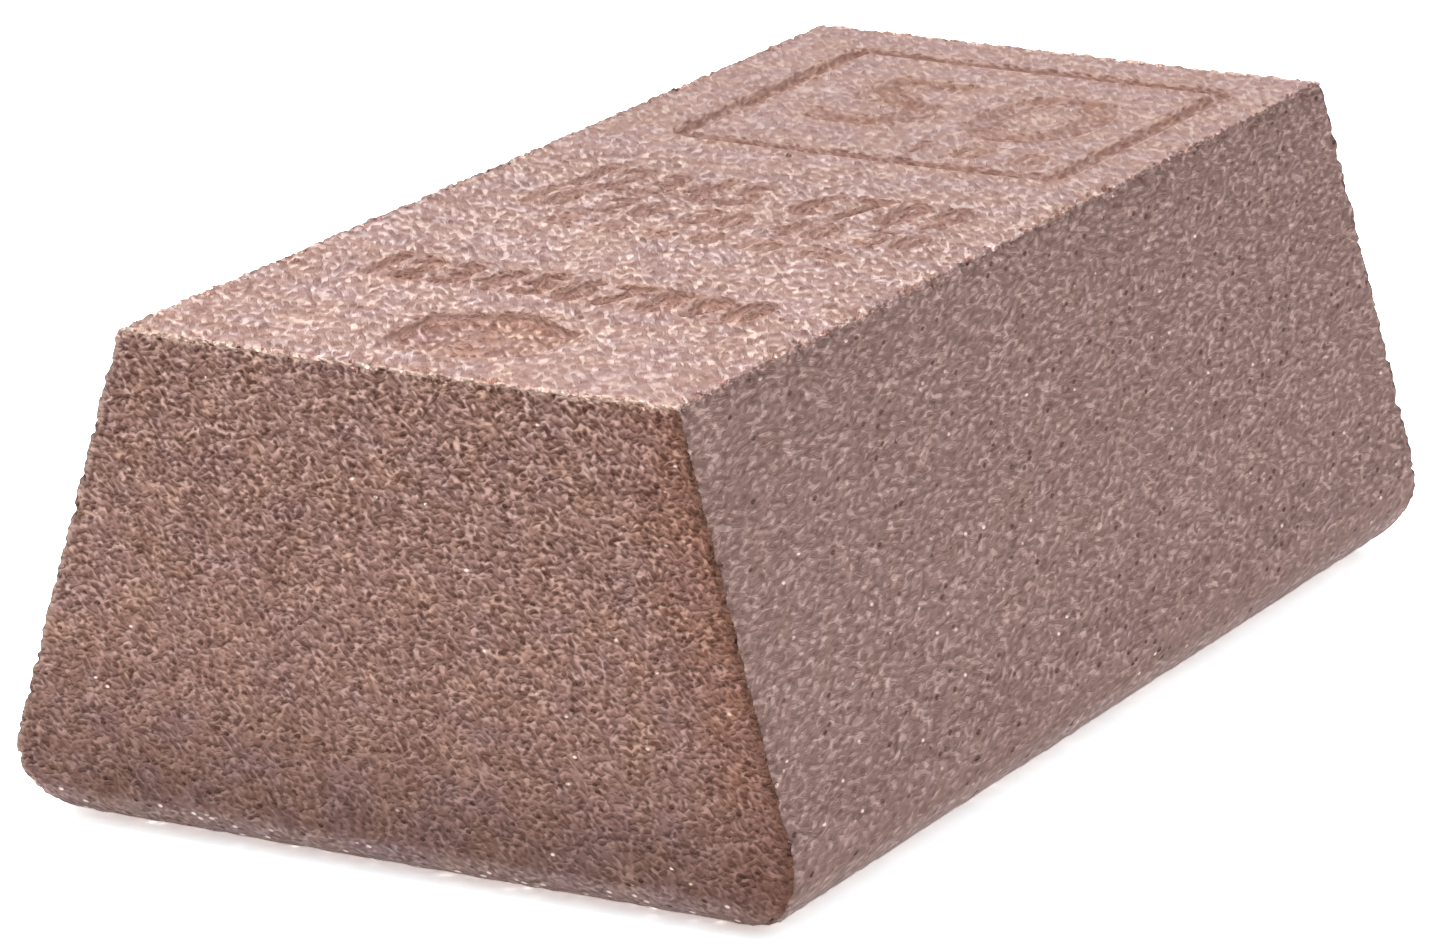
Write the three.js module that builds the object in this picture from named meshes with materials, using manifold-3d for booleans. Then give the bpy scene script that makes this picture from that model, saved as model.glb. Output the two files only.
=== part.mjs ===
// A one-kilogram copper ingot, cast in an open mould and blasted with coarse grit.
//
// Units are millimetres and +Z is up. X runs across the ingot and Y along it, with the near end
// at -Y. It lies on its pour face, which is the wide one, and the origin is the middle of that
// face. The pour face set against the air, so the metal drew itself round along its edges. The
// narrow face lay on the mould's floor: it is flat, its edges are crisp, and it carries the square
// border and the hexagonal cartouche that the mould's pattern left in it. The long sides lean in
// so that the ingot drops out of the mould, and the ends are almost upright.
import * as THREE from "three";
import { mergeVertices } from "three/addons/utils/BufferGeometryUtils.js";
import Module from "manifold-3d";

// The block, from sharp edge to sharp edge.
const height = 29.6;
const pourWidth = 52.5;
const pourLength = 87.5;
const faceWidth = 35.2; // across the marked face
const endDraft = 0.2; // degrees by which each end leans in

// Its round edges.
const sidePourRadius = 4.3; // pour edges of the long sides
const endPourRadius = 3.2; // pour edges of the ends
const pourCornerRadius = 0.9; // corners of the pour face, in plan
const faceEdgeRadius = 0.45; // all round the marked face
const uprightRadius = 0.3; // the four upright edges, in plan

// What the pattern leaves in the marked face. The walls of each recess open outwards.
const patternShift = 0.8; // the pattern lies this far off the middle, towards +X
const wallDraft = 20; // degrees
const borderWidth = 26.6; // across the outside of the groove
const borderLength = 26.6;
const borderToFarEnd = 5.3;
const borderCornerRadius = 1;
const grooveWidth = 1.2;
const grooveDepth = 0.6;
const cartoucheRadius = 5.4; // from its middle to a corner
const cartoucheToNearEnd = 3.3;
const cartoucheDepth = 0.7;

// How finely the round edges are faceted.
const pourEdgeSteps = 12;
const faceEdgeSteps = 5;
const cornerSteps = 6;

const rightAngle = Math.PI / 2;
const sideAngle = Math.atan((pourWidth - faceWidth) / 2 / height);
const endAngle = THREE.MathUtils.degToRad(endDraft);
const faceLength = pourLength - 2 * height * Math.tan(endAngle);
const wallLean = Math.tan(THREE.MathUtils.degToRad(wallDraft));

// The two kinds of wall: how far out each stands at the pour face, how it leans, and its radius there.
const longSide = { reach: pourWidth / 2, angle: sideAngle, pourRadius: sidePourRadius };
const endWall = { reach: pourLength / 2, angle: endAngle, pourRadius: endPourRadius };

const copper = new THREE.MeshStandardMaterial({
  name: "blasted_copper",
  color: new THREE.Color(0.5, 0.325, 0.285),
  metalness: 0.9,
  roughness: 0.55,
});

// A rectangle with round corners at height z, anticlockwise seen from above.
function roundedRectangle(halfX, halfY, radius, z) {
  const signs = [[1, 1], [-1, 1], [-1, -1], [1, -1]];
  return signs.flatMap(([signX, signY], quarter) =>
    Array.from({ length: cornerSteps + 1 }, (_, step) => {
      const turn = (quarter + step / cornerSteps) * rightAngle;
      const x = signX * (halfX - radius) + radius * Math.cos(turn);
      const y = signY * (halfY - radius) + radius * Math.sin(turn);
      return new THREE.Vector3(x, y, z);
    }),
  );
}

// A regular hexagon at height z with a corner towards +Y, anticlockwise seen from above.
function hexagon(radius, z) {
  return Array.from({ length: 6 }, (_, corner) => {
    const turn = rightAngle + (corner / 6) * 2 * Math.PI;
    return new THREE.Vector3(radius * Math.cos(turn), radius * Math.sin(turn), z);
  });
}

// A closed skin over rings of equally many points, lowest ring first, with a flat cap at each end.
function loft(rings) {
  const count = rings[0].length;
  const topRing = (rings.length - 1) * count;
  const indices = [];
  for (let ring = 0; ring < topRing; ring += count) {
    for (let point = 0; point < count; point++) {
      const next = (point + 1) % count;
      indices.push(ring + point, ring + next, ring + count + next);
      indices.push(ring + point, ring + count + next, ring + count + point);
    }
  }
  for (let point = 2; point < count; point++) {
    indices.push(0, point, point - 1);
    indices.push(topRing, topRing + point - 1, topRing + point);
  }
  return new THREE.BufferGeometry().setFromPoints(rings.flat()).setIndex(indices);
}

// How far out a wall stands at height z: straight, with an arc at the pour face below it and another
// at the marked face above it, each touching the wall and its face.
function wallAt(z, { reach, angle, pourRadius }) {
  const lean = Math.tan(angle);
  if (z < pourRadius * (1 + Math.sin(angle))) {
    const middle = reach - pourRadius * Math.tan(rightAngle / 2 + angle / 2);
    return middle + Math.sqrt(pourRadius ** 2 - (pourRadius - z) ** 2);
  }
  const rise = z - (height - faceEdgeRadius);
  if (rise > faceEdgeRadius * Math.sin(angle)) {
    const middle = reach - height * lean - faceEdgeRadius * Math.tan(rightAngle / 2 - angle / 2);
    return middle + Math.sqrt(Math.max(0, faceEdgeRadius ** 2 - rise ** 2));
  }
  return reach - z * lean;
}

// The heights of the body's rings, which are close together where its edges are round.
function ringHeights() {
  const widerRadius = Math.max(sidePourRadius, endPourRadius);
  const heights = [];
  for (let step = 0; step <= pourEdgeSteps; step++) {
    const turn = (step / pourEdgeSteps) * (rightAngle + sideAngle);
    heights.push(widerRadius * (1 - Math.cos(turn)));
  }
  for (let step = 0; step <= faceEdgeSteps; step++) {
    const turn = endAngle + (step / faceEdgeSteps) * (rightAngle - endAngle);
    heights.push(height - faceEdgeRadius * (1 - Math.sin(turn)));
  }
  return heights;
}

// The ingot without its marks. Its corners are wide in plan at the pour face, and they tighten to
// uprightRadius over the height of the round pour edge.
function castBody() {
  const heights = ringHeights();
  const pourEdgeTop = heights[pourEdgeSteps];
  const rings = heights.map((z) => {
    const remaining = Math.max(0, 1 - z / pourEdgeTop);
    const radius = uprightRadius + (pourCornerRadius - uprightRadius) * remaining ** 2;
    return roundedRectangle(wallAt(z, longSide), wallAt(z, endWall), radius, z);
  });
  return loft(rings);
}

// A block to cut with, from depth below the marked face to as far above it. outline gives its ring
// from how far the wall has leant out and from the height, and the block stands at y along the face.
function recess(depth, y, outline) {
  const rings = [-depth, depth].map((rise) => outline(rise * wallLean, height + rise));
  return loft(rings).translate(patternShift, y, 0);
}

const wasm = await Module();
wasm.setup();

function toSolid(geometry) {
  const merged = mergeVertices(geometry);
  const vertProperties = merged.getAttribute("position").array;
  const triVerts = new Uint32Array(merged.getIndex().array);
  return new wasm.Manifold(new wasm.Mesh({ numProp: 3, vertProperties, triVerts }));
}

function toGeometry(solid) {
  const mesh = solid.getMesh();
  const geometry = new THREE.BufferGeometry();
  geometry.setAttribute("position", new THREE.BufferAttribute(mesh.vertProperties, 3));
  geometry.setIndex(new THREE.BufferAttribute(mesh.triVerts, 1));
  return geometry;
}

// The groove of the square border: a pocket with the island inside it left standing.
function borderGroove() {
  const y = faceLength / 2 - borderToFarEnd - borderLength / 2;
  const halfX = borderWidth / 2;
  const halfY = borderLength / 2;
  const pocket = recess(grooveDepth, y, (lean, z) =>
    roundedRectangle(halfX + lean, halfY + lean, borderCornerRadius, z),
  );
  const island = recess(grooveDepth, y, (lean, z) =>
    roundedRectangle(halfX - grooveWidth - lean, halfY - grooveWidth - lean, borderCornerRadius, z),
  );
  return toSolid(pocket).subtract(toSolid(island));
}

// The hexagonal pocket near the other end.
function cartouche() {
  const y = cartoucheToNearEnd + cartoucheRadius - faceLength / 2;
  return toSolid(recess(cartoucheDepth, y, (lean, z) => hexagon(cartoucheRadius + lean, z)));
}

const ingotSolid = toSolid(castBody()).subtract(borderGroove()).subtract(cartouche());
const ingot = new THREE.Mesh(toGeometry(ingotSolid), copper);
ingot.name = "ingot";

const part = new THREE.Group();
part.add(ingot);

export default part;
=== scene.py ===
import math

import bmesh
import bpy
import numpy as np
from mathutils import Euler, Matrix, Vector


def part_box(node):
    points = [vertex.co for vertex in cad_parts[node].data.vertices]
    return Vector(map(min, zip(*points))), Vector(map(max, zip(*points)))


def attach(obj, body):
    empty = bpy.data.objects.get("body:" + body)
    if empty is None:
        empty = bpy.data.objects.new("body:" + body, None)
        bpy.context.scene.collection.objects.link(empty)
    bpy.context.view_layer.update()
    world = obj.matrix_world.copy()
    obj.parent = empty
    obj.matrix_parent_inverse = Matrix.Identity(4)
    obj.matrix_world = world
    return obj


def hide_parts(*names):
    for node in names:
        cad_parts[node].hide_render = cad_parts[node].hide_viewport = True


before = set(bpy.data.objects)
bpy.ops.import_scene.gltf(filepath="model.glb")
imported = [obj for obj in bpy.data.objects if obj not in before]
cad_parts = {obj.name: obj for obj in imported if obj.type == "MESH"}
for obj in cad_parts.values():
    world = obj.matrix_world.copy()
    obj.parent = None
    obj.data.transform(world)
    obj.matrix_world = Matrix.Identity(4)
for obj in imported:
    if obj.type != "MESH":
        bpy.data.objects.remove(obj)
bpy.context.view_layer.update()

mm = 0.001

# nodes


class Value:
    # one output socket that can be used in sums
    def __init__(self, maker, socket):
        self.maker, self.socket = maker, socket

    def math(self, operation, *others):
        inputs = {0: self, **{i + 1: other for i, other in enumerate(others)}}
        return self.maker.add("ShaderNodeMath", {"operation": operation}, inputs).out(0)

    def __add__(self, other): return self.math("ADD", other)
    def __radd__(self, other): return self.math("ADD", other)
    def __sub__(self, other): return self.math("SUBTRACT", other)
    def __rsub__(self, other): return self.maker.number(other).math("SUBTRACT", self)
    def __mul__(self, other): return self.math("MULTIPLY", other)
    def __rmul__(self, other): return self.math("MULTIPLY", other)
    def __truediv__(self, other): return self.math("DIVIDE", other)
    def __rtruediv__(self, other): return self.maker.number(other).math("DIVIDE", self)

    def smooth(self, low, high, start=0.0, end=1.0):
        settings = {"interpolation_type": "SMOOTHSTEP"}
        inputs = {"Value": self, "From Min": low, "From Max": high, "To Min": start, "To Max": end}
        return self.maker.add("ShaderNodeMapRange", settings, inputs).out("Result")


class Made:
    # one node, for picking its outputs
    def __init__(self, maker, node):
        self.maker, self.node = maker, node

    def out(self, name):
        return Value(self.maker, self.node.outputs[name])


class Maker:
    # adds nodes to one tree
    def __init__(self, tree):
        self.tree = tree

    def add(self, kind, settings=None, inputs=None):
        node = self.tree.nodes.new(kind)
        for name, setting in (settings or {}).items():
            if name == "stops":
                self.setStops(node.color_ramp, setting)
            else:
                setattr(node, name, setting)
        for name, given in (inputs or {}).items():
            if isinstance(given, Value):
                self.tree.links.new(given.socket, node.inputs[name])
            else:
                node.inputs[name].default_value = given
        return Made(self, node)

    def setStops(self, ramp, stops):
        while len(ramp.elements) < len(stops):
            ramp.elements.new(0.5)
        for element, (position, colour) in zip(ramp.elements, stops):
            element.position = position
            element.color = (*colour, 1.0)

    def number(self, value):
        return self.add("ShaderNodeMath", {"operation": "ADD"}, {0: value, 1: 0.0}).out(0)

    def vector(self, operation, *inputs):
        made = self.add("ShaderNodeVectorMath", {"operation": operation}, dict(enumerate(inputs)))
        return made.out("Value" if operation == "DOT_PRODUCT" else "Vector")

    def transform(self, vector, matrix, shift=(0, 0, 0)):
        # through a fixed matrix, then a fixed shift
        rows = {i: self.vector("DOT_PRODUCT", vector, tuple(row)) for i, row in enumerate(matrix)}
        return self.vector("ADD", self.add("ShaderNodeCombineXYZ", None, rows).out(0), tuple(shift))

    def mixColours(self, factor, first, second, blend="MIX"):
        settings = {"data_type": "RGBA", "blend_type": blend, "clamp_result": False}
        return self.add("ShaderNodeMix", settings, {0: factor, 6: first, 7: second}).out(2)


# the body's shape

body = {
    "sideDraft": 16.29,  # degrees by which the long sides lean in
    "endDraft": 0.2,
    "sidePourRadius": 4.3 * mm,  # round edges under the long sides
    "endPourRadius": 3.2 * mm,
    "pourCornerRadius": 0.9 * mm,  # corners in plan, at the floor
    "uprightRadius": 0.25 * mm,  # corners in plan, above the round edges
    "faceEdgeRadius": 0.35 * mm,  # edges round the marked face
    "spacing": 0.7 * mm,  # the coarsest mesh
    "pourEdgeRings": 13,
    "faceEdgeRings": 5,
    "cornerSteps": 2,
    "dish": 0.16 * mm,  # how far the marked face sinks along its middle
    "dishFade": 6 * mm,  # how far down the walls that is felt
}

boxLow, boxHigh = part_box("ingot")
height = boxHigh.z
rightAngle = math.pi / 2


def makeWall(widest, draft, pourRadius):
    angle = math.radians(draft)
    reach = widest + pourRadius * (math.tan(rightAngle / 2 + angle / 2) - 1)
    return {"reach": reach, "angle": angle, "pourRadius": pourRadius}


longSide = makeWall(boxHigh.x, body["sideDraft"], body["sidePourRadius"])
endWall = makeWall(boxHigh.y, body["endDraft"], body["endPourRadius"])


def wallAt(z, wall):
    # how far out a wall stands at height z
    reach, angle, pourRadius = wall["reach"], wall["angle"], wall["pourRadius"]
    edgeRadius = body["faceEdgeRadius"]
    if z < pourRadius * (1 + math.sin(angle)):
        middle = reach - pourRadius * math.tan(rightAngle / 2 + angle / 2)
        return middle + math.sqrt(max(0, pourRadius**2 - (pourRadius - z) ** 2))
    rise = z - (height - edgeRadius)
    if rise > edgeRadius * math.sin(angle):
        middle = reach - height * math.tan(angle) - edgeRadius * math.tan(rightAngle / 2 - angle / 2)
        return middle + math.sqrt(max(0, edgeRadius**2 - rise**2))
    return reach - z * math.tan(angle)


def cornerAt(z):
    curveTop = body["sidePourRadius"] * (1 + math.sin(longSide["angle"]))
    remaining = max(0, 1 - z / curveTop)
    return body["uprightRadius"] + (body["pourCornerRadius"] - body["uprightRadius"]) * remaining**2


def ringHeights():
    edgeRadius, pourRadius = body["faceEdgeRadius"], body["sidePourRadius"]
    turns = np.linspace(0, rightAngle + longSide["angle"], body["pourEdgeRings"])
    low = list(pourRadius * (1 - np.cos(turns)))
    turns = np.linspace(endWall["angle"], rightAngle, body["faceEdgeRings"])
    high = list(height - edgeRadius * (1 - np.sin(turns)))
    steps = round((high[0] - low[-1]) / body["spacing"])
    return low + list(np.linspace(low[-1], high[0], steps + 1)[1:-1]) + high


def makeBody():
    # rings of equally many points from the floor up, and a grid of quads across each open end
    acrossSteps = round((longSide["reach"] + wallAt(height, longSide)) / body["spacing"])
    alongSteps = round(2 * endWall["reach"] / body["spacing"])
    cornerSteps = body["cornerSteps"]
    mesh = bmesh.new()

    def addRing(z):
        halfX, halfY, radius = wallAt(z, longSide), wallAt(z, endWall), cornerAt(z)
        straightX, straightY = halfX - radius, halfY - radius
        corners = [(1, 1), (-1, 1), (-1, -1), (1, -1)]
        ring, inner = [], []
        for quarter, (signX, signY) in enumerate(corners):
            cornerX, cornerY = signX * straightX, signY * straightY
            for step in range(cornerSteps + 1):
                turn = (quarter + step / cornerSteps) * rightAngle
                ring.append((cornerX + radius * math.cos(turn), cornerY + radius * math.sin(turn)))
                inner.append((cornerX, cornerY))
            nextX, nextY = (sign * size for sign, size in
                            zip(corners[(quarter + 1) % 4], (straightX, straightY)))
            outX, outY = [(0, radius), (-radius, 0), (0, -radius), (radius, 0)][quarter]
            steps = acrossSteps if quarter % 2 == 0 else alongSteps
            for step in range(1, steps):
                share = step / steps
                x = cornerX + (nextX - cornerX) * share
                y = cornerY + (nextY - cornerY) * share
                ring.append((x + outX, y + outY))
                inner.append((x, y))
        return [mesh.verts.new((x, y, z)) for x, y in ring], inner, (straightX, straightY)

    def bridge(lower, upper):
        for i in range(len(lower)):
            j = (i + 1) % len(lower)
            mesh.faces.new((lower[i], lower[j], upper[j], upper[i]))

    def cap(ring, inner, straight, z, up):
        columns = np.linspace(-straight[0], straight[0], acrossSteps + 1)
        rows = np.linspace(-straight[1], straight[1], alongSteps + 1)
        grid = [[mesh.verts.new((x, y, z)) for y in rows] for x in columns]
        for i in range(acrossSteps):
            for j in range(alongSteps):
                quad = [grid[i][j], grid[i + 1][j], grid[i + 1][j + 1], grid[i][j + 1]]
                mesh.faces.new(quad if up else quad[::-1])
        place = {(round(x, 7), round(y, 7)): grid[i][j]
                 for i, x in enumerate(columns) for j, y in enumerate(rows)}
        edge = [place[round(x, 7), round(y, 7)] for x, y in inner]
        for i in range(len(ring)):
            j = (i + 1) % len(ring)
            around = [ring[i], ring[j], edge[j], edge[i]]
            if edge[i] == edge[j]:
                around.pop()
            mesh.faces.new(around if up else around[::-1])

    rings = [addRing(z) for z in ringHeights()]
    for (lower, *_), (upper, *_) in zip(rings, rings[1:]):
        bridge(lower, upper)
    cap(*rings[0], 0.0, up=False)
    cap(*rings[-1], height, up=True)
    bmesh.ops.triangulate(mesh, faces=mesh.faces[:])
    return mesh


# the marks in the face

faceHalfLength = endWall["reach"] - height * math.tan(endWall["angle"])

pattern = {
    "shift": 0.8 * mm,  # off the middle, towards +X
    "borderSize": 26.6 * mm,
    "borderToFarEnd": 5.3 * mm,
    "borderCorner": 1.0 * mm,
    "grooveWidth": 1.2 * mm,
    "grooveDepth": 0.42 * mm,
    "cartoucheRadius": 5.4 * mm,
    "cartoucheToNearEnd": 3.3 * mm,
    "cartoucheDepth": 0.7 * mm,
    "wallWidth": 0.4 * mm,  # how far a number's wall leans
    "borderWall": 0.35 * mm,  # and the border's
    "borderFlank": 0.6,  # how much of the walls' own colour the border's take
    "swelling": 0.03,  # of each digit's outline, as a share of its height
    "blank": 0.35,  # the width of a blank, and the least gap between digits, as shares of the same
    "digitGap": 0.12,
}

borderY = faceHalfLength - pattern["borderToFarEnd"] - pattern["borderSize"] / 2
cartoucheY = pattern["cartoucheToNearEnd"] + pattern["cartoucheRadius"] - faceHalfLength

# each row of plain numbers: its digits, how far their strokes are fattened on each side, and its
# height, length, middle and depth
numberRows = [
    {"digits": "50", "fatter": 0.2 * mm, "height": 12.4 * mm, "length": 17.6 * mm, "x": 0.6 * mm,
     "y": borderY + 1.0 * mm, "depth": 0.3 * mm},
    {"digits": "100", "fatter": 0.05 * mm, "height": 2.8 * mm, "length": 8.6 * mm, "x": 6.0 * mm,
     "y": borderY - 8.9 * mm, "depth": 0.45 * mm},
    {"digits": "12345 6789", "fatter": 0.22 * mm, "height": 5.2 * mm, "length": 24.4 * mm, "x": 0.0,
     "y": 0.4 * mm, "depth": 0.5 * mm},
    {"digits": "10 20 30 40 50", "fatter": 0.18 * mm, "height": 3.6 * mm, "length": 25.2 * mm,
     "x": -0.2 * mm, "y": -5.4 * mm, "depth": 0.45 * mm},
    {"digits": "2 4 6 8 10 12", "fatter": 0.12 * mm, "height": 2.3 * mm, "length": 18.6 * mm, "x": 0.2 * mm,
     "y": -9.9 * mm, "depth": 0.35 * mm},
    {"digits": "1234567890", "fatter": 0.3 * mm, "height": 4.4 * mm, "length": 24.2 * mm, "x": -0.5 * mm,
     "y": -23.8 * mm, "depth": 0.7 * mm},
    {"digits": "8", "fatter": 0.1 * mm, "height": 4.6 * mm, "length": 3.2 * mm, "x": 0.0,
     "y": cartoucheY, "depth": -0.35 * mm},
]


def digitOutline(digit):
    # one digit's outline as line segments, one unit high, with its left foot at the origin
    curve = bpy.data.curves.new("digit", "FONT")
    curve.body, curve.fill_mode, curve.offset = digit, "NONE", pattern["swelling"]
    curve.resolution_u = 4
    item = bpy.data.objects.new("digit", curve)
    bpy.context.scene.collection.objects.link(item)
    bpy.context.view_layer.update()
    outline = bpy.data.meshes.new_from_object(item.evaluated_get(bpy.context.evaluated_depsgraph_get()))
    points = np.array([vertex.co[:2] for vertex in outline.vertices])
    pairs = np.array([edge.vertices[:] for edge in outline.edges])
    bpy.data.objects.remove(item)
    bpy.data.curves.remove(curve)
    bpy.data.meshes.remove(outline)
    low, high = points.min(0), points.max(0)
    return ((points - low) / (high[1] - low[1]))[pairs]


def layOutDigits():
    # every digit in its place: its segments, its depth and how far its strokes are fattened
    laid = []
    for row in numberRows:
        outlines = {digit: digitOutline(digit) for digit in sorted(set(row["digits"]) - {" "})}
        widths = [outlines[digit][..., 0].max() if digit in outlines else pattern["blank"]
                  for digit in row["digits"]]
        natural = sum(widths) * row["height"]
        gaps = max(1, len(widths) - 1)
        leastGaps = gaps * (pattern["digitGap"] * row["height"] + 2 * row["fatter"])
        # a row that is too wide for its length is squeezed
        squeeze = min(1.0, (row["length"] - leastGaps) / natural)
        spare = max(row["length"] - natural, leastGaps)
        x = pattern["shift"] + row["x"] - row["length"] / 2
        size = np.array([squeeze, 1.0]) * row["height"]
        for digit, width in zip(row["digits"], widths):
            if digit in outlines:
                segments = outlines[digit] * size + (x, row["y"] - row["height"] / 2)
                laid.append((segments, row["depth"], row["fatter"]))
            x += width * size[0] + spare / gaps
    return laid


def signedDistance(points, segments):
    # from each point to a closed outline, below zero inside it
    start, end = segments[:, 0], segments[:, 1]
    step = end - start
    away = points[:, None] - start
    share = np.clip((away * step).sum(2) / np.maximum((step**2).sum(1), 1e-18), 0, 1)
    distance = np.linalg.norm(away - share[..., None] * step, axis=2).min(1)
    above = (start[:, 1] > points[:, None, 1]) != (end[:, 1] > points[:, None, 1])
    rise = np.where(step[:, 1] == 0, 1e-18, step[:, 1])
    crossing = start[:, 0] + (points[:, None, 1] - start[:, 1]) / rise * step[:, 0]
    inside = (above & (points[:, None, 0] < crossing)).sum(1) % 2 == 1
    return np.where(inside, -distance, distance)


def borderDistance(points):
    # to the outline of the groove
    half = pattern["borderSize"] / 2 - pattern["grooveWidth"] / 2
    corner = pattern["borderCorner"]
    away = np.abs(points - (pattern["shift"], borderY)) - (half - corner)
    square = np.linalg.norm(np.maximum(away, 0), axis=1) + np.minimum(away.max(1), 0) - corner
    return np.abs(square) - pattern["grooveWidth"] / 2


def cartoucheDistance(points):
    # to the hexagon's outline, with a corner towards each end
    away = np.abs(points - (pattern["shift"], cartoucheY))
    flat = pattern["cartoucheRadius"] * math.cos(math.pi / 6)
    return np.maximum(away[:, 0], away @ (math.sin(math.pi / 6), math.cos(math.pi / 6))) - flat


digits = layOutDigits()


def readMarks(points):
    # for points on the marked face: how deep each is pressed, how far it is from a mark's outline, and
    # how much it belongs to a mark's wall
    def press(distance, depth, wall=pattern["wallWidth"]):
        share = np.clip(-distance / wall + 0.3, 0, 1)
        steep = 4 * share * (1 - share) * min(1, abs(depth) / (0.4 * mm))
        return depth * share * share * (3 - 2 * share), steep

    border, cartouche = borderDistance(points), cartoucheDistance(points)
    depths, walls = press(border, pattern["grooveDepth"], pattern["borderWall"])
    walls = walls * pattern["borderFlank"]
    sunk, wall = press(cartouche, pattern["cartoucheDepth"])
    depths, walls = depths + sunk, np.maximum(walls, wall)
    nearest = np.minimum(np.abs(border), np.abs(cartouche))
    margin = 1.5 * mm
    for segments, depth, fatter in digits:
        low, high = segments.min((0, 1)) - margin, segments.max((0, 1)) + margin
        close = np.nonzero(((points > low) & (points < high)).all(1))[0]
        if len(close) == 0:
            continue
        distance = signedDistance(points[close], segments) - fatter
        sunk, wall = press(distance, depth)
        depths[close] = np.maximum(depths[close], sunk) if depth > 0 else depths[close] + sunk
        walls[close] = np.maximum(walls[close], wall)
        nearest[close] = np.minimum(nearest[close], np.abs(distance))
    return depths, nearest, walls


# the mesh, fine where its form is sharp

fineness = {
    "atEdge": 0.16 * mm,
    "atMark": 0.19 * mm,
    "atFoot": 0.4 * mm,
    "edgeMargin": 0.3 * mm,  # as far as this from an edge or a mark it stays as fine
    "markMargin": 0.25 * mm,
    "growth": 0.4,  # how much coarser it gets with each unit of distance
    "longest": 1.5,  # how long an edge may be, beside what is wanted
    "passes": 3,
    "wallSteps": 400,
}


def ramp(values, start, end):
    # from 0 at start to 1 at end, and level beyond them
    return np.clip((values - start) / (end - start), 0, 1)


def wallTable():
    # each wall's reach at many heights, for looking up
    heights = np.linspace(0, height, fineness["wallSteps"])
    return heights, *(np.array([wallAt(z, wall) for z in heights]) for wall in (longSide, endWall))


tableHeights, sideReach, endReach = wallTable()


def edgeDistances(points):
    # how far points on the body are from its crisp edges, and from the round edge at its foot
    z = points[:, 2]
    gapX = np.interp(z, tableHeights, sideReach) - np.abs(points[:, 0])
    gapY = np.interp(z, tableHeights, endReach) - np.abs(points[:, 1])
    crisp = np.sort(np.stack([gapX, gapY, height - z]), axis=0)[1]
    foot = np.maximum(z, np.minimum(gapX, gapY))
    return np.abs(crisp), foot


def onFace(points):
    return points[:, 2] > height - 0.3 * mm


def wantedSpacing(points):
    crisp, foot = edgeDistances(points)
    growth = fineness["growth"]
    wanted = fineness["atEdge"] + growth * np.maximum(0, crisp - fineness["edgeMargin"])
    wanted = np.minimum(wanted, fineness["atFoot"] + growth * foot)
    face = onFace(points)
    nearest = readMarks(points[face, :2])[1]
    byMark = fineness["atMark"] + growth * np.maximum(0, nearest - fineness["markMargin"])
    wanted[face] = np.minimum(wanted[face], byMark)
    return wanted


def refine(mesh):
    for _ in range(fineness["passes"]):
        mesh.verts.ensure_lookup_table()
        mesh.edges.ensure_lookup_table()
        points = np.array([vertex.co for vertex in mesh.verts])
        pairs = np.array([(edge.verts[0].index, edge.verts[1].index) for edge in mesh.edges])
        ends = points[pairs]
        lengths = np.linalg.norm(ends[:, 0] - ends[:, 1], axis=1)
        tooLong = np.nonzero(lengths > fineness["longest"] * wantedSpacing(ends.mean(1)))[0]
        if len(tooLong) == 0:
            break
        long = [mesh.edges[i] for i in tooLong]
        bmesh.ops.subdivide_edges(mesh, edges=long, cuts=1)
        mesh.verts.index_update()
        many = [face for face in mesh.faces if len(face.verts) > 3]
        bmesh.ops.triangulate(mesh, faces=many)
        mesh.verts.index_update()
        print("refined to", len(mesh.faces), "faces")
    # two faces back to back on the same three points bound nothing
    groups = {}
    for face in mesh.faces:
        groups.setdefault(frozenset(face.verts), []).append(face)
    flaps = [face for group in groups.values() if len(group) > 1 for face in group]
    bmesh.ops.delete(mesh, geom=flaps, context="FACES")
    mesh.verts.index_update()
    print("dropped", len(flaps), "doubled faces")
    return mesh


grainShare = {
    "sides": 0.54,
    "endFoot": 0.48,
    "endRise": 0.33,  # how much more the ends have at the top than at the foot
    "face": 0.73,
    "faceTurn": 0.19,  # how much more the face has towards its near end, and less towards the far one
    "turnsAt": 8 * mm,  # where along it, and over this length
    "nearCorner": 0.25,  # how much less the face has by its near right corner
    "cornerWidth": 8 * mm,
    "cornerFrom": 33 * mm,  # where along it that starts, and where it is full
    "cornerFull": 39 * mm,
}


def grainAt(points, onTop, onEnd):
    # how strong the grain is at each point
    across, along, up = points.T
    grain = onEnd * (grainShare["endFoot"] + grainShare["endRise"] * up / height)
    grain += (1 - onEnd) * grainShare["sides"]
    turn = np.tanh((along - grainShare["turnsAt"]) / grainShare["turnsAt"])
    grain += (grainShare["face"] - grainShare["faceTurn"] * turn - grain) * onTop
    nearCorner = ramp(across, 0, grainShare["cornerWidth"])
    nearCorner *= ramp(-along, grainShare["cornerFrom"], grainShare["cornerFull"])
    return grain - grainShare["nearCorner"] * onTop * nearCorner


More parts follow.
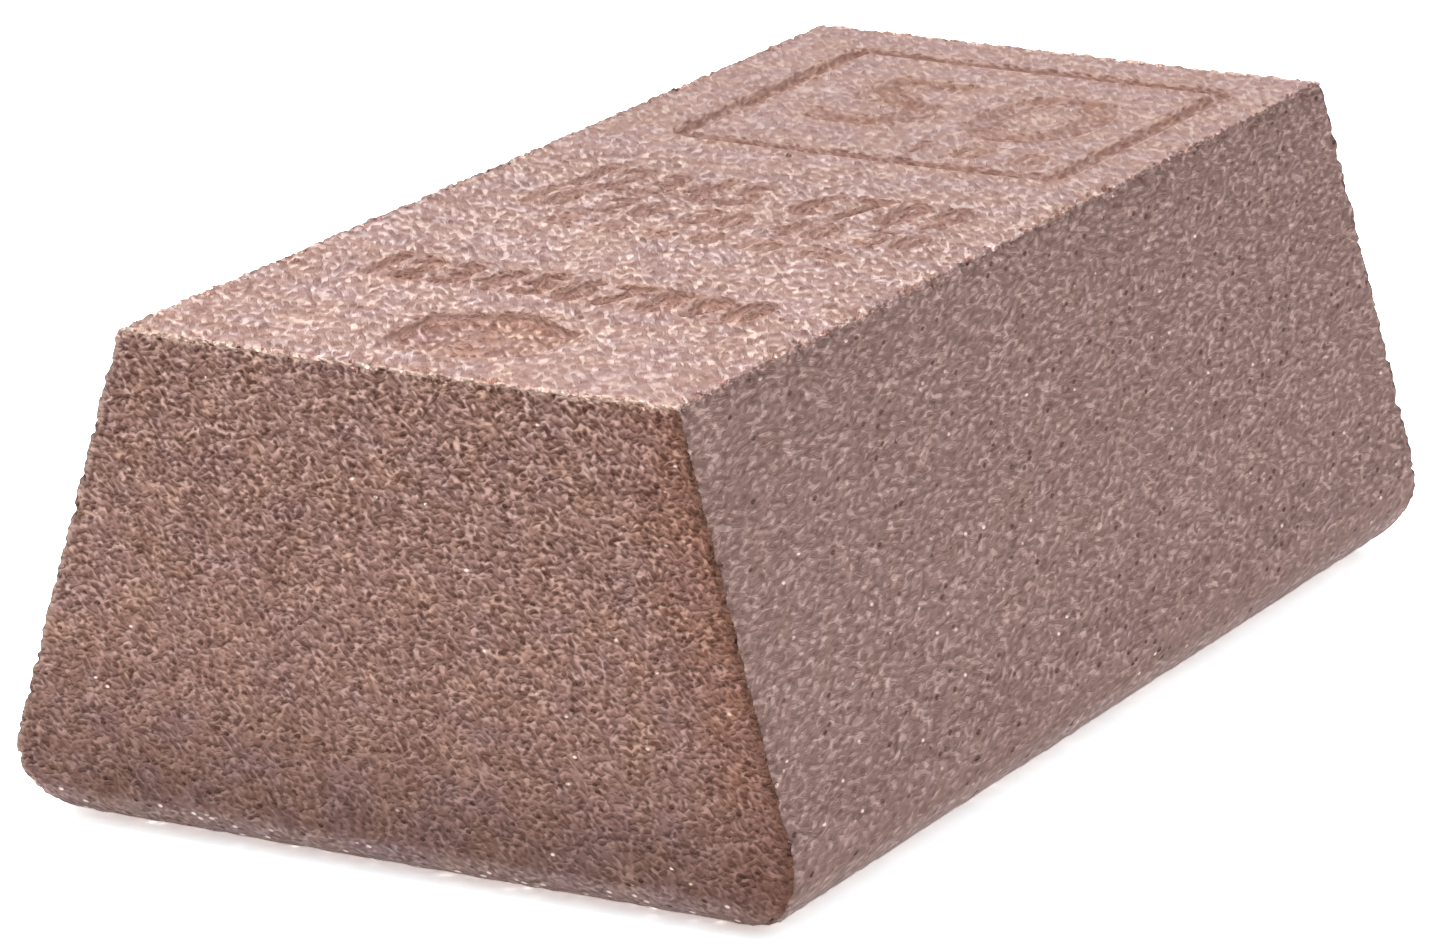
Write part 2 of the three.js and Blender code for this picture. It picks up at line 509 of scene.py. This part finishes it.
def pressMarks(mesh):
    # lowers the face into its marks, and gives each point what the finish needs to know
    mesh.verts.ensure_lookup_table()
    points = np.array([vertex.co for vertex in mesh.verts])
    crisp, foot = edgeDistances(points)
    face = onFace(points)
    depths, nearest, walls = np.zeros(len(points)), np.full(len(points), 1.0), np.zeros(len(points))
    depths[face], nearest[face], walls[face] = readMarks(points[face, :2])
    across = np.clip(points[:, 0] / wallAt(height, longSide), -1, 1)
    fromTop = ramp(height - points[:, 2], body["dishFade"], 0)
    onTop = ramp(height - points[:, 2], 0.4 * mm, 0.1 * mm)
    along = ramp(points[:, 1], 0, endWall["reach"])
    points[:, 2] -= depths + body["dish"] * (1 - across**2) * (1 - 0.8 * along**4) * fromTop**2
    for vertex, point in zip(mesh.verts, points):
        vertex.co = point
    gapX = np.interp(points[:, 2], tableHeights, sideReach) - np.abs(points[:, 0])
    gapY = np.interp(points[:, 2], tableHeights, endReach) - np.abs(points[:, 1])
    onEnd = ramp(gapX - gapY, -0.5 * mm, 0.5 * mm)
    endRim = ramp(np.maximum(np.abs(height - points[:, 2]), np.abs(gapY)), 0.9 * mm, 0)
    uprightGap = np.maximum(np.abs(gapX), np.abs(gapY))
    return {"pressed": depths / (0.6 * mm), "markGap": np.minimum(nearest / mm, 9), "markWall": walls,
            "edgeGap": crisp / mm, "footGap": foot / mm, "grain": grainAt(points, onTop, onEnd),
            "endRim": endRim, "uprightGap": uprightGap / mm, "onTop": onTop,
            "onEnd": (gapX > gapY) * (1 - onTop)}


def finishMesh(mesh, name, attributes):
    data = bpy.data.meshes.new(name)
    mesh.to_mesh(data)
    mesh.free()
    for attribute, values in attributes.items():
        layer = data.attributes.new(attribute, "FLOAT", "POINT")
        layer.data.foreach_set("value", values.astype(np.float32))
    data.polygons.foreach_set("use_smooth", [True] * len(data.polygons))
    piece = bpy.data.objects.new(name, data)
    bpy.context.scene.collection.objects.link(piece)
    return piece


# the relief that casting and blasting leave

relief = {
    "Swell Size": 9.0 * mm,
    "Swell Depth": 0.10 * mm,
    "Grit Size": 0.75 * mm,
    "Grit Depth": 0.10 * mm,
    "Edge Bite": 0.42 * mm,
    "Bite Size": 0.8 * mm,
    "Tooth Depth": 0.15 * mm,
    "Tooth Size": 0.5 * mm,
    "Seed": 3.0,
}


def makeReliefTree(metal):
    tree = bpy.data.node_groups.new("blasting", "GeometryNodeTree")
    sockets = tree.interface
    sockets.new_socket("Geometry", in_out="INPUT", socket_type="NodeSocketGeometry")
    for name in relief:
        sockets.new_socket(name, in_out="INPUT", socket_type="NodeSocketFloat")
    sockets.new_socket("Geometry", in_out="OUTPUT", socket_type="NodeSocketGeometry")
    maker = Maker(tree)
    given = maker.add("NodeGroupInput")
    place = maker.add("GeometryNodeInputPosition").out(0)

    def scale(vector, factor):
        return maker.add("ShaderNodeVectorMath", {"operation": "SCALE"}, {0: vector, "Scale": factor}).out(0)

    def noise(size, detail, shift, output=0):
        settings = {"noise_dimensions": "4D"}
        inputs = {"Vector": place, "W": given.out("Seed") + shift, "Scale": 1.0 / given.out(size),
                  "Detail": detail, "Roughness": 0.5}
        return maker.add("ShaderNodeTexNoise", settings, inputs).out(output)

    def read(name):
        made = maker.add("GeometryNodeInputNamedAttribute", {"data_type": "FLOAT"}, {"Name": name})
        return made.out(0)

    edge = read("edgeGap").smooth(0.15, 0.9, 1.0, 0.0)
    calm = read("markGap").smooth(0.1, 0.9, 0.15, 1.0) * read("pressed").smooth(0.1, 0.6, 1.0, 0.3)
    swell = noise("Swell Size", 1.0, 0.0) * given.out("Swell Depth")
    grit = noise("Grit Size", 2.0, 5.0).smooth(0.25, 0.75, 1.0, 0.0) * given.out("Grit Depth") * calm
    bite = noise("Bite Size", 1.0, 9.0).smooth(0.5, 0.78) * given.out("Edge Bite") * edge
    depth = swell + grit + bite
    normal = maker.add("GeometryNodeInputNormal").out(0)
    inwards = scale(normal, depth * -1.0)
    anyWay = maker.vector("SUBTRACT", noise("Tooth Size", 0.0, 13.0, "Color"), (0.5, 0.5, 0.5))
    ragged = scale(anyWay, given.out("Tooth Depth") * edge * 2.0)
    moved = maker.add("GeometryNodeSetPosition", None, {
        "Geometry": given.out("Geometry"), "Offset": maker.vector("ADD", inwards, ragged)}).out(0)
    whole = maker.add("GeometryNodeRealizeInstances", None, {"Geometry": moved}).out(0)
    coated = maker.add("GeometryNodeSetMaterial", None, {"Geometry": whole, "Material": metal}).out(0)
    maker.add("NodeGroupOutput", None, {"Geometry": coated})
    return tree


def blast(piece, metal):
    modifier = piece.modifiers.new("blasting", "NODES")
    modifier.node_group = makeReliefTree(metal)
    for socket in modifier.node_group.interface.items_tree:
        if socket.in_out == "INPUT" and socket.name in relief:
            modifier[socket.identifier] = relief[socket.name]
    bpy.context.view_layer.update()
    seen = piece.evaluated_get(bpy.context.evaluated_depsgraph_get())
    data = bpy.data.meshes.new_from_object(seen)
    piece.modifiers.clear()
    points = np.empty(len(data.vertices) * 3, np.float32)
    data.vertices.foreach_get("co", points)
    points = np.clip(points.reshape(-1, 3), boxLow, boxHigh)  # nothing stands proud of the solid's box
    data.vertices.foreach_set("co", points.ravel())
    old, piece.data = piece.data, data
    name = old.name
    bpy.data.meshes.remove(old)
    data.name = name
    return piece


# the copper

copper = {
    # the first five go from the grit's hollows to its tops
    "pit": (0.14, 0.063, 0.048),
    "shade": (0.27, 0.147, 0.118),
    "plain": (0.44, 0.265, 0.223),
    "light": (0.65, 0.425, 0.365),
    "ridge": (0.92, 0.64, 0.56),
    "rubbedAndPaintedSheen": (0.80, 0.58, 0.48),  # rubbed bright and a painted sheen along the face's near and far edges
    # painted glints: the colour of bright specks that stand in for highlights
    "paintedGlint": (1.0, 0.86, 0.78),
    "rosy": (1.12, 1.04, 1.03),  # what the face's colour turns by where it is dark
    "pale": (1.0, 1.07, 1.11),  # and where it is light, a painted paler sheen
    "paintedLipHighlight": (0.85, 0.64, 0.56),  # a painted highlight round the marks
    "flank": (0.55, 0.375, 0.325),  # painted light on the marks' walls, at their top
    "flankFoot": (0.86, 0.62, 0.54),  # and at their foot, painted lighter still
    "salmon": (1.06, 1.085, 1.07),  # what the colour turns by on their floors, a painted light
    "rust": (0.20, 0.095, 0.065),  # along the upright edges
    "warm": (0.80, 0.62, 0.52),  # what the ends' colour turns by towards those edges
    "side": (0.985, 1.03, 1.055),  # what the long sides' colour turns by, a painted cooler light
    "low": (0.62, 0.61, 0.63),  # and all round by the foot, a painted shade
    "paintedFarShade": (0.90, 0.91, 0.92),  # and a painted shade at the face's far end
    "paintedUnderShade": (0.75, 0.69, 0.645),  # painted shade where the long sides turn in towards the floor
    "paintedFloorReflection": (1.42, 1.64, 1.78),  # and a painted reflection of the floor, lighter again right by it
    "edge": (0.95, 0.97, 0.98),  # along every crisp edge
    "mauve": (0.965, 0.98, 1.05),  # the two ways that the hue drifts
    "olive": (1.02, 1.005, 0.945),
    "hueSize": 3.0 * mm,
    "strokeSize": 0.30 * mm,
    "regionSize": 1.1 * mm,  # the places in which the strokes run one way
    "strengthSize": 1.1 * mm,  # and those in which they are strong or faint
    "lumpSize": 0.40 * mm,
    "patchSize": 1.3 * mm,
    "pitSpacing": 0.8 * mm,
    "paintedGlintSpacing": 0.9 * mm,
    "faceLay": 27,  # degrees round from +Y, the way the face's grain is drawn out
    "sideLay": 30,  # and the way it is turned on the long sides
    "askew": (0.6, 0.45, 0.9),  # radians about each axis
    "metallic": 0.9,
    "roughness": 0.55,
    "bumpHeight": 0.15 * mm,
}


def makeCopper():
    material = bpy.data.materials.new("blastedCopper")
    material.use_nodes = True
    material.node_tree.nodes.clear()
    maker = Maker(material.node_tree)
    place = maker.add("ShaderNodeTexCoord").out("Object")

    def noise(size, detail=1.0, roughness=0.5, where=place):
        inputs = {"Vector": where, "Scale": 1.0 / size, "Detail": detail, "Roughness": roughness}
        return maker.add("ShaderNodeTexNoise", None, inputs)

    def attribute(name):
        return maker.add("ShaderNodeAttribute", {"attribute_name": name}).out("Fac")

    def named(name):
        return (*copper[name], 1)

    def lay(colour, share, name):
        # covers a share of the colour with a named one
        return maker.mixColours(share, colour, named(name))

    def turn(colour, share, tint):
        # multiplies a share of the colour by a tint
        return maker.mixColours(share, colour, maker.mixColours(1.0, colour, tint, "MULTIPLY"))

    def dots(size, share, radius, where):
        # round dots in a share of the cells of a random pattern
        cells = maker.add("ShaderNodeTexVoronoi", None, {"Vector": where, "Scale": 1.0 / size})
        chance = maker.add("ShaderNodeSeparateColor", None, {0: cells.out("Color")}).out(0)
        inDot = cells.out("Distance").smooth(radius * 0.4, radius, 1.0, 0.0)
        return inDot * (chance + share).smooth(1.0, 1.05)

    onTop, onEnd = attribute("onTop").smooth(0.45, 0.55), attribute("onEnd").smooth(0.45, 0.55)
    turned = maker.add("ShaderNodeVectorRotate", {"rotation_type": "Z_AXIS"}, {
        "Vector": place, "Angle": onTop * math.radians(-copper["faceLay"])}).out(0)
    stretch = maker.add("ShaderNodeCombineXYZ", None, {
        0: 1.0, 1: 0.68 - onTop * 0.34, 2: 1.31 + onEnd * 0.12}).out(0)
    drawnOut = maker.vector("MULTIPLY", turned, stretch)
    # no face may lie along the noise's own grid
    tip = Euler(copper["askew"]).to_matrix()
    askew, elsewhere = maker.transform(drawnOut, tip), maker.transform(drawnOut, tip, (0.2, 0.1, 0.4))
    lump = noise(copper["lumpSize"], 0.0, 0.5, elsewhere).out(0) - 0.5
    beside = maker.vector("ADD", place, (0.1, 0.4, 0.9))
    strength = noise(copper["strengthSize"], 1.0, 0.5, beside).out(0).smooth(0.3, 0.7, 0.7, 1.3)
    # the grit lies in short strokes, which run different ways from place to place
    side = (1.0 - onEnd) * (1.0 - onTop)
    whereabouts = maker.add("ShaderNodeSeparateXYZ", None, {0: place})
    sideways = maker.add("ShaderNodeCombineXYZ", None, {
        0: whereabouts.out("Y") * 0.5, 1: whereabouts.out("Z") * 0.93, 2: whereabouts.out("X")}).out(0)
    endways = maker.add("ShaderNodeCombineXYZ", None, {
        0: whereabouts.out("X") * 1.1, 1: whereabouts.out("Z") * 1.15, 2: whereabouts.out("Y")}).out(0)
    flat = maker.mixColours(onEnd, maker.mixColours(side, drawnOut, sideways), endways)
    flatLaid = maker.add("ShaderNodeVectorRotate", {"rotation_type": "Z_AXIS"}, {
        "Vector": flat, "Angle": side * math.radians(-copper["sideLay"])}).out(0)

    def strokes(degrees, shift):
        drawn = tip @ Matrix.Diagonal((0.62, 1.05, 1.0)) @ Matrix.Rotation(math.radians(degrees), 3, "Z")
        where = maker.transform(flatLaid, drawn, tip @ Vector(shift))
        return noise(copper["strokeSize"], 0.0, 0.5, where).out(0) - 0.5

    def choose(first, second, shift):
        chance = noise(copper["regionSize"], 0.0, 0.5, maker.vector("ADD", flat, shift)).out(0)
        return first + (second - first) * chance.smooth(0.42, 0.58)

    across = choose(strokes(10, (0.1, 0.2, 0.3)), strokes(-32, (0.4, 0.1, 0.7)), (0.3, 0.6, 0.1))
    stroke = choose(across, strokes(52, (0.6, 0.9, 0.2)), (0.8, 0.1, 0.4))
    other = choose(strokes(-10, (0.5, 0.7, 0.9)), strokes(30, (0.2, 0.9, 0.6)), (0.9, 0.3, 0.7))
    sparse = side * 0.04
    brushed = stroke.smooth(sparse + 0.01, sparse + 0.1, 0.0, 0.24) + stroke.smooth(-0.16, -0.06, -0.13, 0.0)
    brushed = brushed + other.smooth(sparse + 0.02, sparse + 0.1, 0.0, 0.18)
    brushed = brushed + other.smooth(-0.16, -0.08, -0.13, 0.0) * (1.0 - side)
    dense = stroke.smooth(-0.16, 0.12, -0.18, 0.18) + other.smooth(-0.16, 0.12, -0.12, 0.11)
    brushed = brushed + (dense - brushed) * onEnd
    grit = (brushed + lump * 0.4) * strength
    patch = noise(copper["patchSize"], 2.0, 0.6).out(0) - 0.5
    pit = dots(copper["pitSpacing"], 0.3 - onTop * 0.25 - side * 0.1, side * 0.06 + 0.27, askew)
    # painted glints: bright specks, more of them along the ends' foot
    foot = attribute("footGap").smooth(1.0, 2.6, 1.0, 0.0) * onEnd
    paintedGlint = dots(copper["paintedGlintSpacing"], 0.08 + foot * 0.6 - onTop * 0.08 + side * 0.05,
                 0.2 + foot * 0.08, elsewhere)

    grain = attribute("grain")
    pressed, markGap = attribute("pressed").smooth(0.1, 0.4), attribute("markGap")
    rim, uprightGap = attribute("endRim"), attribute("uprightGap")
    rusty = onEnd * whereabouts.out("X").smooth(-2 * mm, 2 * mm)
    besideUpright = rusty * uprightGap.smooth(0.0, 7.0, 1.0, 0.0)
    atUpright = rusty * uprightGap.smooth(0.0, 1.3, 1.0, 0.0)
    # rubbed bright and a painted sheen by the upright edges on the -X side
    rubbedAndSheenUpright = (onEnd - rusty) * uprightGap.smooth(0.1, 0.8, 1.0, 0.0)
    footGap = attribute("footGap")
    # painted shade towards the foot
    low = footGap.smooth(0.0, 12.0, 1.0, 0.0)
    markWall = attribute("markWall").smooth(0.2, 0.8)
    grain = grain * (1.0 - markWall * 0.4)

    tone = grit * (1.15 - onTop * 0.35) * grain + grit.smooth(0.1, 0.35) * grain * 0.12 + patch * 0.2
    tone = tone + 0.39 + onTop * 0.07 + side * 0.03
    # the painted glints lift the tone
    tone = tone * (1.0 - pit * 0.85) + paintedGlint * 0.6
    stops = [(0.0, copper["pit"]), (0.25, copper["shade"]), (0.5, copper["plain"]), (0.75, copper["light"]),
             (1.0, copper["ridge"])]
    colour = maker.add("ShaderNodeValToRGB", {"stops": stops}, {0: tone}).out("Color")
    hue = noise(copper["hueSize"], 2.0, 0.6, maker.vector("ADD", place, (0.5, 0.2, 0.3))).out(0)
    drift = maker.mixColours(hue.smooth(0.3, 0.7) * (1.0 - side * 0.6), named("mauve"), named("olive"))
    colour = maker.mixColours(1.0, colour, drift, "MULTIPLY")
    # painted shade where the body turns in towards the floor
    paintedUnderShade = (1.0 - onEnd * 0.85) * footGap.smooth(3.0, 5.5, 1.0, 0.0)
    # a painted reflection of the floor right by the foot
    paintedFloorReflection = (footGap - side * 0.8).smooth(1.5, 2.4, 1.0, 0.0)
    paintedFloorReflection = paintedFloorReflection * footGap.smooth(0.5, 1.1, 0.3, 1.0) * (1.0 - side * 0.3)
    # painted shade towards the face's far end
    paintedFarShade = onTop * whereabouts.out("Y").smooth(-44 * mm, 15 * mm)
    # painted light and shade: cooler long sides, shade by the foot, under the sides and at the far end, and
    # a painted floor reflection right by the foot
    tints = [(side, "side"), (low * (onEnd * 0.4 + 0.6), "low"), (paintedUnderShade, "paintedUnderShade"), (paintedFloorReflection, "paintedFloorReflection"),
             (paintedFarShade, "paintedFarShade")]
    for share, name in tints:
        colour = turn(colour, share, named(name))
    # the painted glints' colour
    colour = lay(colour, paintedGlint * (0.65 + foot * 0.15 - side * 0.15), "paintedGlint")
    # the face's light tones turned paler, a painted sheen
    colour = turn(colour, onTop, maker.mixColours(tone.smooth(0.2, 0.75), named("rosy"), named("pale")))
    # a painted highlight along the marks' lips
    paintedLipHighlight = markGap.smooth(0.0, 0.45, 1.0, 0.0) * onTop * (1.0 - pressed)
    colour = lay(colour, paintedLipHighlight * (patch + grit + 0.6).smooth(0.3, 0.8) * 0.55, "paintedLipHighlight")
    # painted light in the marks: lighter floors, and walls lighter towards their foot
    colour = turn(colour, pressed, named("salmon"))
    wall = maker.mixColours(attribute("pressed").smooth(0.3, 1.1), named("flank"), named("flankFoot"))
    colour = maker.mixColours(markWall * (patch * 0.8 + 0.65), colour, wall)
    ragged = (stroke + lump) * 1.5
    # rubbed bright and a painted sheen along the face's near and far edges and the -X upright edges
    colour = lay(colour, (rim * (ragged * 1.6 + 1.5) - 0.5).smooth(0.0, 0.5) * 0.65, "rubbedAndPaintedSheen")
    colour = lay(colour, rubbedAndSheenUpright * 0.5, "rubbedAndPaintedSheen")
    colour = turn(colour, besideUpright * 0.6, named("warm"))
    colour = lay(colour, (atUpright * (ragged * 2.0 + 1.2) - 0.5).smooth(0.0, 0.5) * 0.8, "rust")
    colour = turn(colour, attribute("edgeGap").smooth(0.0, 0.7, 1.0, 0.0), named("edge"))
    bumps = grit * 2.0 * grain * (1.0 - onTop * 0.2 - side * 0.3) - pit
    bump = maker.add("ShaderNodeBump", None, {
        "Strength": 1.0, "Distance": copper["bumpHeight"], "Height": bumps}).out(0)
    byMark = markGap.smooth(0.1, 0.6, 1.0, 0.0) * onTop
    # the spots with painted glints are also smoother
    rough = copper["roughness"] - paintedGlint * 0.2 + byMark.math("MAXIMUM", pressed) * 0.3
    surface = maker.add("ShaderNodeBsdfPrincipled", None, {
        "Base Color": colour, "Metallic": copper["metallic"], "Roughness": rough, "Normal": bump}).out(0)
    maker.add("ShaderNodeOutputMaterial", None, {"Surface": surface})
    return material


# the studio

camera = {
    "azimuth": 27.34,  # degrees round from the near end
    "elevation": 16.03,
    "roll": 0.23,
    "distance": 462.0 * mm,
    "aimRight": -2.13 * mm,  # from the middle of the foot, sideways and up
    "aimUp": 11.93 * mm,
    "lens": 191.7,  # millimetres, as Blender takes it
}


def makeCamera():
    azimuth, elevation = math.radians(camera["azimuth"]), math.radians(camera["elevation"])
    back = Vector((math.sin(azimuth) * math.cos(elevation), -math.cos(azimuth) * math.cos(elevation),
                   math.sin(elevation)))
    right = (-back).cross(Vector((0, 0, 1))).normalized()
    up = right.cross(-back)
    roll = math.radians(camera["roll"])
    turnedRight = right * math.cos(roll) + up * math.sin(roll)
    turnedUp = up * math.cos(roll) - right * math.sin(roll)
    data = bpy.data.cameras.new("camera")
    data.lens = camera["lens"]
    data.clip_start, data.clip_end = 0.01, 20
    item = bpy.data.objects.new("camera", data)
    bpy.context.scene.collection.objects.link(item)
    where = back * camera["distance"] + turnedRight * camera["aimRight"] + turnedUp * camera["aimUp"]
    item.matrix_world = Matrix.Translation(where) @ Matrix(
        (turnedRight, turnedUp, back)).transposed().to_4x4()
    bpy.context.scene.camera = item


studio = {
    "worldLight": 0.33,
    "floorColour": 0.55,
    "floorGlow": 0.75,
    # as the camera sees it, the floor is white but for the shadow right under the ingot's edges
    "seenColour": (2.95, 3.5, 3.6),
    "seenGlow": 0.25,
    "floorReach": 3.0,
    "floorDrop": 0.05 * mm,  # so that the floor and the ingot's foot never lie in one plane
}

# each lamp shines from far off, is as wide as its angle, and lights a surface that faces it by its strength
lamps = [
    {"name": "overhead", "from": (-0.12, 0.05, 1.0), "angle": 36, "strength": 2.6,
     "colour": (1.0, 0.98, 0.96)},
    {"name": "behind", "from": (-0.44, 0.85, 0.55), "angle": 50, "strength": 0.6,
     "colour": (0.92, 0.97, 1.0)},
    {"name": "fill", "from": (1.0, -0.1, 0.5), "angle": 60, "strength": 0.3, "colour": (0.82, 0.92, 1.0)},
]


def makeWorld():
    world = bpy.data.worlds.new("studio")
    bpy.context.scene.world = world
    world.use_nodes = True
    world.node_tree.nodes.clear()
    maker = Maker(world.node_tree)
    background = maker.add("ShaderNodeBackground", None,
                           {"Color": (1, 1, 1, 1), "Strength": studio["worldLight"]})
    maker.add("ShaderNodeOutputWorld", None, {"Surface": background.out(0)})


def makeFloor():
    data = bpy.data.meshes.new("floor")
    size, z = studio["floorReach"], -studio["floorDrop"]
    corners = [(-size, -size), (size, -size), (size, size), (-size, size)]
    data.from_pydata([(x, y, 0) for x, y in corners], [], [(0, 1, 2, 3)])
    floor = bpy.data.objects.new("floor", data)
    bpy.context.scene.collection.objects.link(floor)
    material = bpy.data.materials.new("floor")
    material.use_nodes = True
    material.node_tree.nodes.clear()
    maker = Maker(material.node_tree)
    path = maker.add("ShaderNodeLightPath")
    seen = path.out("Is Camera Ray")
    mirrored = path.out("Is Glossy Ray") + path.out("Is Transmission Ray")
    grey = studio["floorColour"]
    colour = maker.mixColours(seen, (grey, grey, grey, 1), (*studio["seenColour"], 1))
    matte = maker.add("ShaderNodeBsdfDiffuse", None, {"Color": colour}).out(0)
    glow = maker.add("ShaderNodeEmission", None, {
        "Color": (1, 1, 1, 1), "Strength": seen * studio["seenGlow"] + mirrored * studio["floorGlow"]})
    both = maker.add("ShaderNodeAddShader", None, {0: matte, 1: glow.out(0)}).out(0)
    maker.add("ShaderNodeOutputMaterial", None, {"Surface": both})
    data.materials.append(material)
    floor.location.z = z


def makeLamps():
    for lamp in lamps:
        data = bpy.data.lights.new(lamp["name"], "SUN")
        data.energy, data.angle, data.color = lamp["strength"], math.radians(lamp["angle"]), lamp["colour"]
        item = bpy.data.objects.new(lamp["name"], data)
        bpy.context.scene.collection.objects.link(item)
        item.rotation_mode = "QUATERNION"
        item.rotation_quaternion = Vector(lamp["from"]).to_track_quat("Z", "Y")


# making it all

metal = makeCopper()
print("copper:", len(metal.node_tree.nodes), "nodes")
mesh = refine(makeBody())
attributes = pressMarks(mesh)
print("marks:", len(digits), "digits, the border and the cartouche")
ingot = finishMesh(mesh, "blastedIngot", attributes)
blast(ingot, metal)
print("ingot:", len(ingot.data.polygons), "triangles")
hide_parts("ingot")
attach(ingot, "root")

makeFloor()
makeWorld()
makeLamps()
makeCamera()
bpy.context.scene.view_settings.view_transform = "Standard"
print("studio: a floor, a world,", len(lamps), "lamps and the camera")
